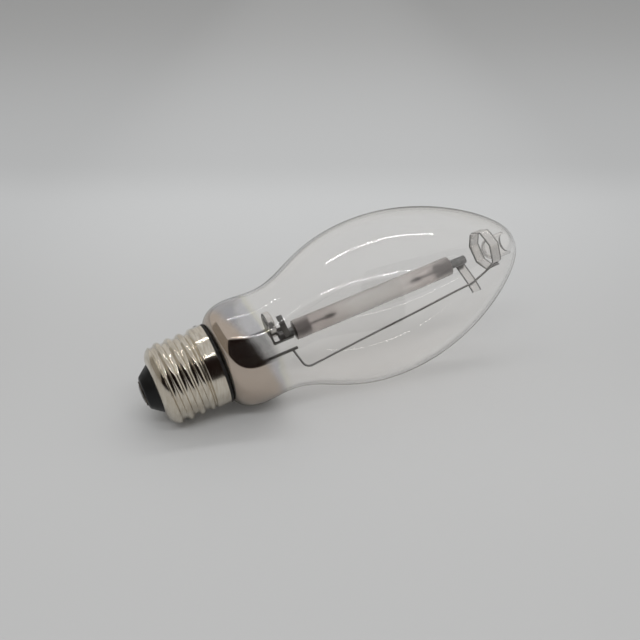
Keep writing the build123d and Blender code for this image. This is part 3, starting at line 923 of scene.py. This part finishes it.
# %% Alumina tube
TUBE_MOUTH, TUBE_EDGE = 2.0, 0.22
arc_bore = ARC_RADIUS - ARC_WALL
tube_outline = rounded(
    [
        (ARC_START + TUBE_MOUTH, arc_bore),
        (ARC_START, arc_bore),
        (ARC_START, ARC_RADIUS),
        (ARC_END, ARC_RADIUS),
        (ARC_END, arc_bore),
        (ARC_END - TUBE_MOUTH, arc_bore),
    ],
    TUBE_EDGE,
    5,
)
arc_tube = lathe("alumina_arc_tube", tube_outline)
dress(arc_tube, arc_alumina, ["arc_tube"])

# %% [markdown]
# Each end of the tube is closed by a plug with a niobium end tube through it, and a fillet
# of melted frit seals the joint. Both ends are alike, so a loop makes them: face is the
# station of the tube's end, and way is 1 or -1, the way from there into the tube.

# %% Plugs, seals and end tubes
PLUG_SINK = 0.03
NIOBIUM_RADIUS, NIOBIUM_WALL, NIOBIUM_CAP, NIOBIUM_EDGE = 1.5, 0.25, 0.5, 0.1
NIOBIUM_LENGTHS = {"lower": 5.6, "upper": 6.4}
FRIT_FILLET = ((0.0, 0.02), (0.0, 1.0), (0.12, 0.55), (0.27, 0.25), (0.5, 0.02))
arc_ends = {"lower": (ARC_START, 1.0), "upper": (ARC_END, -1.0)}
niobium_bore = NIOBIUM_RADIUS - NIOBIUM_WALL
for end, (face, way) in arc_ends.items():
    cap = face + way * PLUG_LENGTH
    plug_outline = [
        (face + way * PLUG_SINK, NIOBIUM_RADIUS + SEAT_GAP),
        (face + way * PLUG_SINK, arc_bore - SEAT_GAP),
        (cap, arc_bore - SEAT_GAP),
        (cap, NIOBIUM_RADIUS + SEAT_GAP),
    ]
    plug = lathe(f"{end}_alumina_plug", plug_outline)
    dress(plug, plug_alumina, [f"{end}_end_plug"])
    fillet = [(face - way * out, NIOBIUM_RADIUS + above) for out, above in FRIT_FILLET]
    seal = lathe(f"{end}_frit_fillet", fillet)
    dress(seal, frit_glass, [f"{end}_frit_seal"])
    start = face - way * NIOBIUM_LENGTHS[end]
    inside = cap - way * NIOBIUM_CAP
    tube_wall = [(start, niobium_bore), (start, NIOBIUM_RADIUS), (cap, NIOBIUM_RADIUS)]
    closed_end = [(cap, 0.0), (inside, 0.0), (inside, niobium_bore)]
    sleeve_outline = [*rounded(tube_wall, NIOBIUM_EDGE, 4), *closed_end]
    sleeve = lathe(f"{end}_niobium_sleeve", sleeve_outline, 64)
    dress(sleeve, niobium, [f"{end}_niobium_tube"])

# %% [markdown]
# Each electrode is a tungsten rod with a wire winding near its tip. The winding is a real
# helix here: a round section carried along a line that turns as it climbs.

# %% Electrodes
ROD_RADIUS, ROD_EDGE = 0.35, 0.12
COIL_RADIUS, COIL_LENGTH, COIL_SETBACK, COIL_TURNS = 0.8, 3.0, 1.2, 7
POINTS_PER_TURN, WIRE_SHARE = 24, 0.94
coil_wire = (COIL_RADIUS - ROD_RADIUS) / 2
for end, (face, way) in arc_ends.items():
    cap = face + way * PLUG_LENGTH
    far = cap + way * ELECTRODE_LENGTH
    shank = rounded([(cap, 0.0), (cap, ROD_RADIUS), (far, ROD_RADIUS), (far, 0.0)], ROD_EDGE, 4)
    rod = lathe(f"{end}_tungsten_rod", shank, 32)
    dress(rod, tungsten, [f"{end}_electrode_rod"])
    climb = np.linspace(0, 1, COIL_TURNS * POINTS_PER_TURN + 1)
    coil_path = turned(
        far - way * (COIL_SETBACK + coil_wire + climb * (COIL_LENGTH - 2 * coil_wire)),
        ROD_RADIUS + coil_wire,
        climb * COIL_TURNS * 2 * math.pi,
    )
    coil_section = round_section(coil_wire * WIRE_SHARE, 10)
    coil = carried(f"{end}_tungsten_winding", coil_path, along, coil_section)
    dress(coil, tungsten, [f"{end}_electrode_coil"])

# %% [markdown]
# ## The wire frame
#
# Two rods come out of the stem. The short one carries the arc tube's lower bracket. The
# long frame wire is welded to the other, steps out past the arc tube, runs up beside it and
# ends on the clip that grips the dimple. It is one bent rod, so it is one carried section.

# %% Rods and frame wire
LEAD_RADIUS, WIRE_RADIUS, WIRE_BEND = 0.5, 0.35, 2.4
LEAD_OFFSETS = {"frame": 5.6, "tube": -3.7}
LEAD_STATIONS = {"frame": (31.1, 40.0, 50.4), "tube": (31.1, 38.0, 44.0)}
FRAME_START, FRAME_ELBOW = 48.8, (50.2, 12.9)
UPPER_WELD, UPPER_WELD_OFFSET = 115.3, 8.8
CLIP_WIDTH = 3.8
CLIP_STATION, CLIP_OFFSET = 127.6, 6.2
END_ROUND = 0.35


def bent_rod(name, stops, radius, node):
    """A rod bent in the plane of the frame, through stops of station and offset."""
    path = rounded(stops, WIRE_BEND)
    places = framed(path[:, 0], path[:, 1])
    rod = carried(name, places, frame_far, round_section(radius, 20), radius * END_ROUND)
    return dress(rod, nickel_wire, [node])


for lead, offset in LEAD_OFFSETS.items():
    stops = [(station, offset) for station in LEAD_STATIONS[lead]]
    bent_rod(f"{lead}_lead_rod", stops, LEAD_RADIUS, f"{lead}_lead")
frame_stops = [
    (FRAME_START, LEAD_OFFSETS["frame"] + LEAD_RADIUS + SEAT_GAP),
    FRAME_ELBOW,
    (UPPER_WELD, UPPER_WELD_OFFSET),
    (CLIP_STATION - CLIP_WIDTH, CLIP_OFFSET),
    (CLIP_STATION, CLIP_OFFSET),
]
bent_rod("long_frame_wire", frame_stops, WIRE_RADIUS, "frame_wire")

# %% [markdown]
# ## Strips
#
# Thin strips join the arc tube to the frame and hold the getter. Each is a flat section
# with round edges, carried along its bends. The bright ones are painted dark beside their
# edges: painted dark reflection, as a curved strip edge mirrors the dark room.

# %% A strip with painted dark edges
EDGE_SHADE_BEGINS, EDGE_SHADE_FULL = 0.7, 0.12
STRIP_COLOUR, STRIP_EDGE_SHADE_COLOUR = grey(0.72, 0.02), grey(0.06, 0.04)


def strip_with_painted_dark_edges(name, middle, width):
    """Bright strip with painted dark reflection beside its two edges. The strip lies across the
    lamp's axis, so the edges are at half its width from the station of its middle."""
    shader = Shader(name)
    aside = shader.station() - middle
    begins, full = (width / 2 - EDGE_SHADE_BEGINS) ** 2, (width / 2 - EDGE_SHADE_FULL) ** 2
    # Painted dark reflection: 0 on the middle of the strip, 1 beside its edges.
    edge = (aside * aside).step(begins, full)
    roughness = shader.noise(200.0, 4.0, 0.6) * 0.1 + 0.14
    colour = shader.blend(edge, STRIP_COLOUR, STRIP_EDGE_SHADE_COLOUR)
    return shader.plain_finish(colour, roughness, {"Metallic": 1.0})


# %% [markdown]
# The upper strap runs across, from the upper end tube to the frame wire, and lies flat on
# both.

# %% Upper strap
STRAP_WIDTH, STRAP_THICKNESS = 3.4, 0.15
STRAP_HOLD, STRAP_END, STRAP_BEND = 1.2, 12.0, 1.0
tube_side = NIOBIUM_RADIUS + SEAT_GAP + STRAP_THICKNESS / 2
wire_side = WIRE_RADIUS + SEAT_GAP + STRAP_THICKNESS / 2
strap_path = rounded(
    [
        (-STRAP_HOLD, tube_side),
        (STRAP_HOLD, tube_side),
        (UPPER_WELD_OFFSET - STRAP_HOLD, wire_side),
        (STRAP_END, wire_side),
    ],
    STRAP_BEND,
)
strap = carried(
    "upper_ribbon",
    framed(UPPER_WELD, strap_path[:, 0], strap_path[:, 1]),
    along,
    strip_section(STRAP_WIDTH, STRAP_THICKNESS),
)
dress(strap, strip_with_painted_dark_edges("upper_ribbon", UPPER_WELD, STRAP_WIDTH), ["upper_strap"])

# %% [markdown]
# The lower bracket runs along the lower end tube and turns out to its lead.

# %% Lower bracket
BRACKET_STATION, BRACKET_WIDTH, BRACKET_STRIP = 44.0, 2.6, 0.25
BRACKET_HEIGHT, BRACKET_BEND, BRACKET_STOPS_SHORT = 7.0, 0.5, 1.0
foot = NIOBIUM_RADIUS + SEAT_GAP + BRACKET_STRIP / 2
bracket_path = rounded(
    [
        (BRACKET_STATION + BRACKET_STRIP / 2, -BRACKET_HEIGHT),
        (BRACKET_STATION + BRACKET_STRIP / 2, foot),
        (ARC_START - BRACKET_STOPS_SHORT, foot),
    ],
    BRACKET_BEND,
)
bracket = carried(
    "lower_strip_bracket",
    framed(bracket_path[:, 0], bracket_path[:, 1]),
    frame_far,
    strip_section(BRACKET_WIDTH, BRACKET_STRIP),
)
dress(bracket, strip_painted_dark, ["lower_bracket"])

# %% [markdown]
# The dimple clip is a springy strip bent to a many-sided ring. It is open on the side away
# from the frame wire, so that it can be squeezed on.

# %% Dimple clip
CLIP_STRIP, CLIP_SIDES, CLIP_SHIFT, CLIP_GAP = 0.25, 7, 0.7, 1.2
CLIP_BEND, CLIP_EDGE, CLIP_END_SHARE = 0.9, 0.06, 0.985
clip_reach = CLIP_OFFSET - WIRE_RADIUS - SEAT_GAP + CLIP_SHIFT - CLIP_STRIP / 2
corner_radius = clip_reach / math.cos(math.pi / CLIP_SIDES)
open_corner = CLIP_SIDES // 2
corner_steps = open_corner + 1 + np.arange(CLIP_SIDES - 1)
corner_turns = (corner_steps + 0.5) * 2 * math.pi / CLIP_SIDES
corners = corner_radius * np.column_stack([np.cos(corner_turns), np.sin(corner_turns)])
clip_end = -corner_radius * CLIP_END_SHARE
clip_stops = [(clip_end, -CLIP_GAP / 2), *corners, (clip_end, CLIP_GAP / 2)]
clip_path = rounded(clip_stops, CLIP_BEND, 5)
clip_middle = CLIP_STATION - CLIP_WIDTH / 2
clip = carried(
    "dimple_spring_clip",
    framed(clip_middle, clip_path[:, 0] - CLIP_SHIFT, clip_path[:, 1]),
    along,
    strip_section(CLIP_WIDTH, CLIP_STRIP, CLIP_EDGE),
)
clip_finish = strip_with_painted_dark_edges("dimple_clip", clip_middle, CLIP_WIDTH)
dress(clip, clip_finish, ["dimple_clip"])

# %% [markdown]
# ## The getter
#
# A pressed ring held the metal that was flashed onto the neck. It is a channel, open
# towards the base: a bent line is given a wall on both sides and turned about the ring's
# own middle line, which runs beside the lamp's axis.

# %% Getter ring
GETTER_RADIUS, GETTER_CHANNEL, GETTER_WIDTH, GETTER_WALL = 4.4, 1.3, 2.1, 0.2
GETTER_OFFSET, GETTER_BEND = -5.0, 0.45
ring_start = BRACKET_STATION + BRACKET_STRIP
ring_end = ring_start + GETTER_WIDTH
inner_edge = GETTER_RADIUS - GETTER_CHANNEL
half_wall = GETTER_WALL / 2


def about_getter(name, profile):
    """Turns a closed profile of stations and radii about the getter's own middle line."""
    profile = np.array(profile, float)
    turn = around(80)[None, :]
    radius = profile[:, 1:]
    points = framed(profile[:, :1], GETTER_OFFSET + radius * np.cos(turn), radius * np.sin(turn))
    return surface(name, points, closed_rows=True)


channel = rounded(
    [
        (ring_start, GETTER_RADIUS - half_wall),
        (ring_end - half_wall, GETTER_RADIUS - half_wall),
        (ring_end - half_wall, inner_edge + half_wall),
        (ring_start, inner_edge + half_wall),
    ],
    GETTER_BEND,
    6,
)
channel_run = np.gradient(channel, axis=0)
channel_run /= np.linalg.norm(channel_run, axis=1, keepdims=True)
channel_side = half_wall * np.column_stack([-channel_run[:, 1], channel_run[:, 0]])
channel_wall = np.concatenate([channel + channel_side, (channel - channel_side)[::-1]])
getter = about_getter("getter_channel_ring", channel_wall)
dress(getter, getter_metal, ["getter_ring"])

# %% [markdown]
# What is left of the pressed filling lies in the bottom of the channel. It is dark, lumpy
# and quite dull.

# %% Getter filling
FILL_DEPTH, FILL_SIDE, FILL_CORNER, FILL_BEVEL = 1.7, 0.27, 0.5, 0.15
powder_shader = Shader("getter_powder")
lumps = powder_shader.noise(1500.0, 5.0, 0.7)
getter_powder = powder_shader.plain_finish(
    powder_shader.blend(lumps.step(0.4, 0.65), grey(0.05, 0.05), grey(0.16, 0.08)),
    0.8,
    {"Normal": powder_shader.bump(lumps, 0.7, GRIT_DEPTH)},
)
fill_start = ring_end - GETTER_WALL - SEAT_GAP - FILL_DEPTH
filling = about_getter(
    "getter_powder_filling",
    [
        (fill_start + FILL_BEVEL, GETTER_RADIUS - FILL_SIDE),
        (ring_end - FILL_CORNER, GETTER_RADIUS - FILL_SIDE),
        (ring_end - FILL_SIDE, GETTER_RADIUS - FILL_CORNER),
        (ring_end - FILL_SIDE, inner_edge + FILL_CORNER),
        (ring_end - FILL_CORNER, inner_edge + FILL_SIDE),
        (fill_start + FILL_BEVEL, inner_edge + FILL_SIDE),
        (fill_start, inner_edge + FILL_CORNER),
        (fill_start, GETTER_RADIUS - FILL_CORNER),
    ],
)
dress(filling, getter_powder, ["getter_fill"])

# %% [markdown]
# A strip welded to the lower end tube carries the ring on a tab. Both are one piece of
# metal, so their two meshes become one.

# %% Getter strap
ARM_WIDTH, ARM_LENGTH = 2.0, 7.6
TAB_LENGTH, TAB_OFFSET, TAB_WIDTH, TAB_LAP, TAB_WALL = 1.55, 1.0, 1.4, 0.5, 0.16
arm_far = -(NIOBIUM_RADIUS + SEAT_GAP + half_wall)
arm_station = ring_end + TAB_LENGTH + ARM_WIDTH / 2
arm = carried(
    "getter_strip",
    framed(arm_station, np.linspace(NIOBIUM_RADIUS, NIOBIUM_RADIUS - ARM_LENGTH, 8), arm_far),
    along,
    strip_section(ARM_WIDTH, GETTER_WALL),
)
tab_stations = np.linspace(ring_end, arm_station - TAB_LAP, 6)
tab = carried(
    "getter_tab",
    framed(tab_stations, -TAB_OFFSET - TAB_WIDTH / 2, arm_far),
    frame_out,
    strip_section(TAB_WIDTH, TAB_WALL),
)
both = bmesh.new()
both.from_mesh(arm.data)
both.from_mesh(tab.data)
both.to_mesh(arm.data)
both.free()
bpy.data.objects.remove(tab)
arm.data.shade_smooth()
arm.data.set_sharp_from_angle(angle=SHARP_ANGLE)
dress(arm, strip_painted_dark, ["getter_strap"])

# %% [markdown]
# ## Stage and light
#
# The lamp lies on pale paper in a white box, lit by two rows of small lights under the lid.
# The paper is one wide floor with painted light and shade: painted a little lighter just
# behind the lamp and darker beyond, as a sheet is where it bends up into the shade, and
# painted darker on the near side and out to either side. Each tone takes over between two
# distances behind the lamp, in metres.

# %% Paper
PAPER_HALF = 3.0
PAPER_AZIMUTH = math.radians(65.54)
PAPER_NEAR_SHADE_COLOUR = grey(0.525, -0.012)
PAPER_LIGHT_AND_SHADE_TONES = (
    (-0.11, -0.04, grey(0.55, -0.012)),
    (0.0, 0.175, grey(0.645, -0.02)),
    (0.165, 0.245, grey(0.585, -0.02)),
    (0.225, 0.775, grey(0.54, -0.015)),
)
PAPER_SHADE, PAPER_SHADE_REACH = 0.10, 0.18

paper_shader = Shader("pale_paper")
paper_back = (math.cos(PAPER_AZIMUTH), math.sin(PAPER_AZIMUTH), 0.0)
paper_behind = paper_shader.reach(paper_back)
paper_light_and_shade = PAPER_NEAR_SHADE_COLOUR
for begins, full, colour in PAPER_LIGHT_AND_SHADE_TONES:
    paper_light_and_shade = paper_shader.blend(paper_behind.step(begins, full), paper_light_and_shade, colour)
paper_aside = paper_shader.reach((-paper_back[1], paper_back[0], 0.0))
# Painted shade: the paper darkens out to either side.
paper_shade = (paper_aside * paper_aside).step(0.0, PAPER_SHADE_REACH**2) * PAPER_SHADE
paper_light_and_shade = paper_shader.blend(paper_shade, paper_light_and_shade, grey(0.0))
pale_paper = paper_shader.plain_finish(paper_light_and_shade, 0.9, {"Specular IOR Level": 0.1})


# %% [markdown]
# Flat cards make the stage. The floor is the only one that the camera shows.

# %% Paper floor
def stage_card(name, corners, faces, material):
    """A flat piece of the stage, from corners in metres."""
    mesh = bpy.data.meshes.new(name)
    mesh.from_pydata(corners, [], faces)
    mesh.materials.append(material)
    card = bpy.data.objects.new(name, mesh)
    bpy.context.scene.collection.objects.link(card)
    print(name, "is on the stage, faces:", len(faces))
    return card


square = ((-1, -1), (1, -1), (1, 1), (-1, 1))
floor_corners = [(x * PAPER_HALF, y * PAPER_HALF, 0.0) for x, y in square]
stage_card("paper_floor", floor_corners, [(0, 1, 2, 3)], pale_paper)

# %% [markdown]
# The world gives the even part of the light, and a long lamp for each row gives the light
# its direction. The rows are given by the two ends of each, on the floor plan in metres.

# %% World and lamps
WORLD_COLOUR, WORLD_LEVEL = (1.0, 0.985, 0.96, 1.0), 0.60
world = bpy.data.worlds.new("room")
bpy.context.scene.world = world
world.use_nodes = True
background = world.node_tree.nodes["Background"]
background.inputs["Color"].default_value = WORLD_COLOUR
background.inputs["Strength"].default_value = WORLD_LEVEL
ROW_HEIGHT, ROW_WIDTH = 0.8, 0.06
ROW_POWERS = {"front": 2.9, "rear": 1.2}
ROWS = {"front": ((-0.67, -0.25), (0.31, -0.59)), "rear": ((-0.33, 0.35), (0.57, 0.11))}


def strip_lamp(name, first, last, power):
    """A long lamp that faces down. Gloss and glass don't show it, only the small lights."""
    first, last = np.array(first), np.array(last)
    data = bpy.data.lights.new(name, "AREA")
    data.shape = "RECTANGLE"
    data.size = float(np.linalg.norm(last - first))
    data.size_y = ROW_WIDTH
    data.energy = power
    lamp = bpy.data.objects.new(name, data)
    bpy.context.scene.collection.objects.link(lamp)
    lamp.location = (*((first + last) / 2), ROW_HEIGHT)
    lamp.rotation_euler.z = math.atan2(*(last - first)[::-1])
    lamp.visible_glossy = False
    lamp.visible_transmission = False
    print(name, "is", round(data.size, 2), "m long")


for row, (first, last) in ROWS.items():
    strip_lamp(f"{row}_strip_lamp", first, last, ROW_POWERS[row])

# %% [markdown]
# What makes glass and bare metal look real is what they mirror. The lamp was photographed
# in a white box: two rows of small lights run under its bright lid, its front is open to a
# dark room, and its left wall is in the shade. Only gloss and glass show these cards, so
# they light nothing.

# %% Cards for the gloss to mirror
def gloss_card(name, corners, faces, finish):
    """A card of the stage, hidden from the camera and from the light of rough surfaces."""
    card = stage_card(name, corners, faces, finish)
    card.visible_camera = False
    card.visible_diffuse = False
    card.visible_shadow = False


def glow(name, colour, strength):
    """A finish that shines with one colour for rays that a glossy surface has thrown back,
    and isn't there for any other, such as a look straight through the glass."""
    shader = Shader(name)
    thrown_back = shader.node("ShaderNodeLightPath", {}, {}, output="Glossy Depth")
    clear = shader.node("ShaderNodeBsdfTransparent", {}, {})
    light = shader.node("ShaderNodeEmission", {}, {"Color": colour, "Strength": strength})
    return shader.finish(shader.mixed(thrown_back, clear, light))


# %% [markdown]
# The small lights of a row are equal squares at even steps, in one mesh.

# %% Rows of small lights
ROW_LIGHT, ROW_COUNT, ROW_DOT = 85.0, 36, 0.0055
dot_light = glow("row_of_lights", grey(1.0), ROW_LIGHT)
for row, (first, last) in ROWS.items():
    middles = np.linspace(first, last, ROW_COUNT)
    corners = [
        (middle_x + x * ROW_DOT, middle_y + y * ROW_DOT, ROW_HEIGHT)
        for middle_x, middle_y in middles
        for x, y in square
    ]
    faces = [tuple(range(4 * k + 3, 4 * k - 1, -1)) for k in range(ROW_COUNT)]
    gloss_card(f"{row}_row_of_lights", corners, faces, dot_light)

# %% [markdown]
# The lid is a wide square just over the rows, the front stands before the lamp and grows
# lower to the right, and the wall closes the left side.

# %% Lid, open front and shaded wall
LID_LIGHT, LID_HALF, LID_ABOVE_ROWS = 0.62, 1.3, 0.02
DARK_COLOUR, SHADE_COLOUR = (0.012, 0.008, 0.007, 1.0), (0.30, 0.28, 0.25, 1.0)
FRONT_DISTANCE, FRONT_LEFT, FRONT_RIGHT = 0.2, -1.2, 0.057
FRONT_HEIGHT, FRONT_LEFT_HEIGHT = 0.27, 0.85
lid_corners = [(x * LID_HALF, y * LID_HALF, ROW_HEIGHT + LID_ABOVE_ROWS) for x, y in square]
gloss_card("bright_lid", lid_corners, [(3, 2, 1, 0)], glow("bright_lid", grey(1.0), LID_LIGHT))
front = [
    (FRONT_LEFT, -FRONT_DISTANCE, 0.0),
    (FRONT_RIGHT, -FRONT_DISTANCE, 0.0),
    (FRONT_RIGHT, -FRONT_DISTANCE, FRONT_HEIGHT),
    (FRONT_LEFT, -FRONT_DISTANCE, FRONT_LEFT_HEIGHT),
]
gloss_card("open_front", front, [(0, 1, 2, 3)], glow("dark_room", DARK_COLOUR, 1.0))
side = [
    (FRONT_LEFT, -FRONT_DISTANCE, 0.0),
    (FRONT_LEFT, -FRONT_DISTANCE, ROW_HEIGHT),
    (FRONT_LEFT, LID_HALF, ROW_HEIGHT),
    (FRONT_LEFT, LID_HALF, 0.0),
]
gloss_card("shaded_wall", side, [(0, 1, 2, 3)], glow("shaded_wall", SHADE_COLOUR, 1.0))

bpy.context.scene.view_settings.view_transform = "Standard"
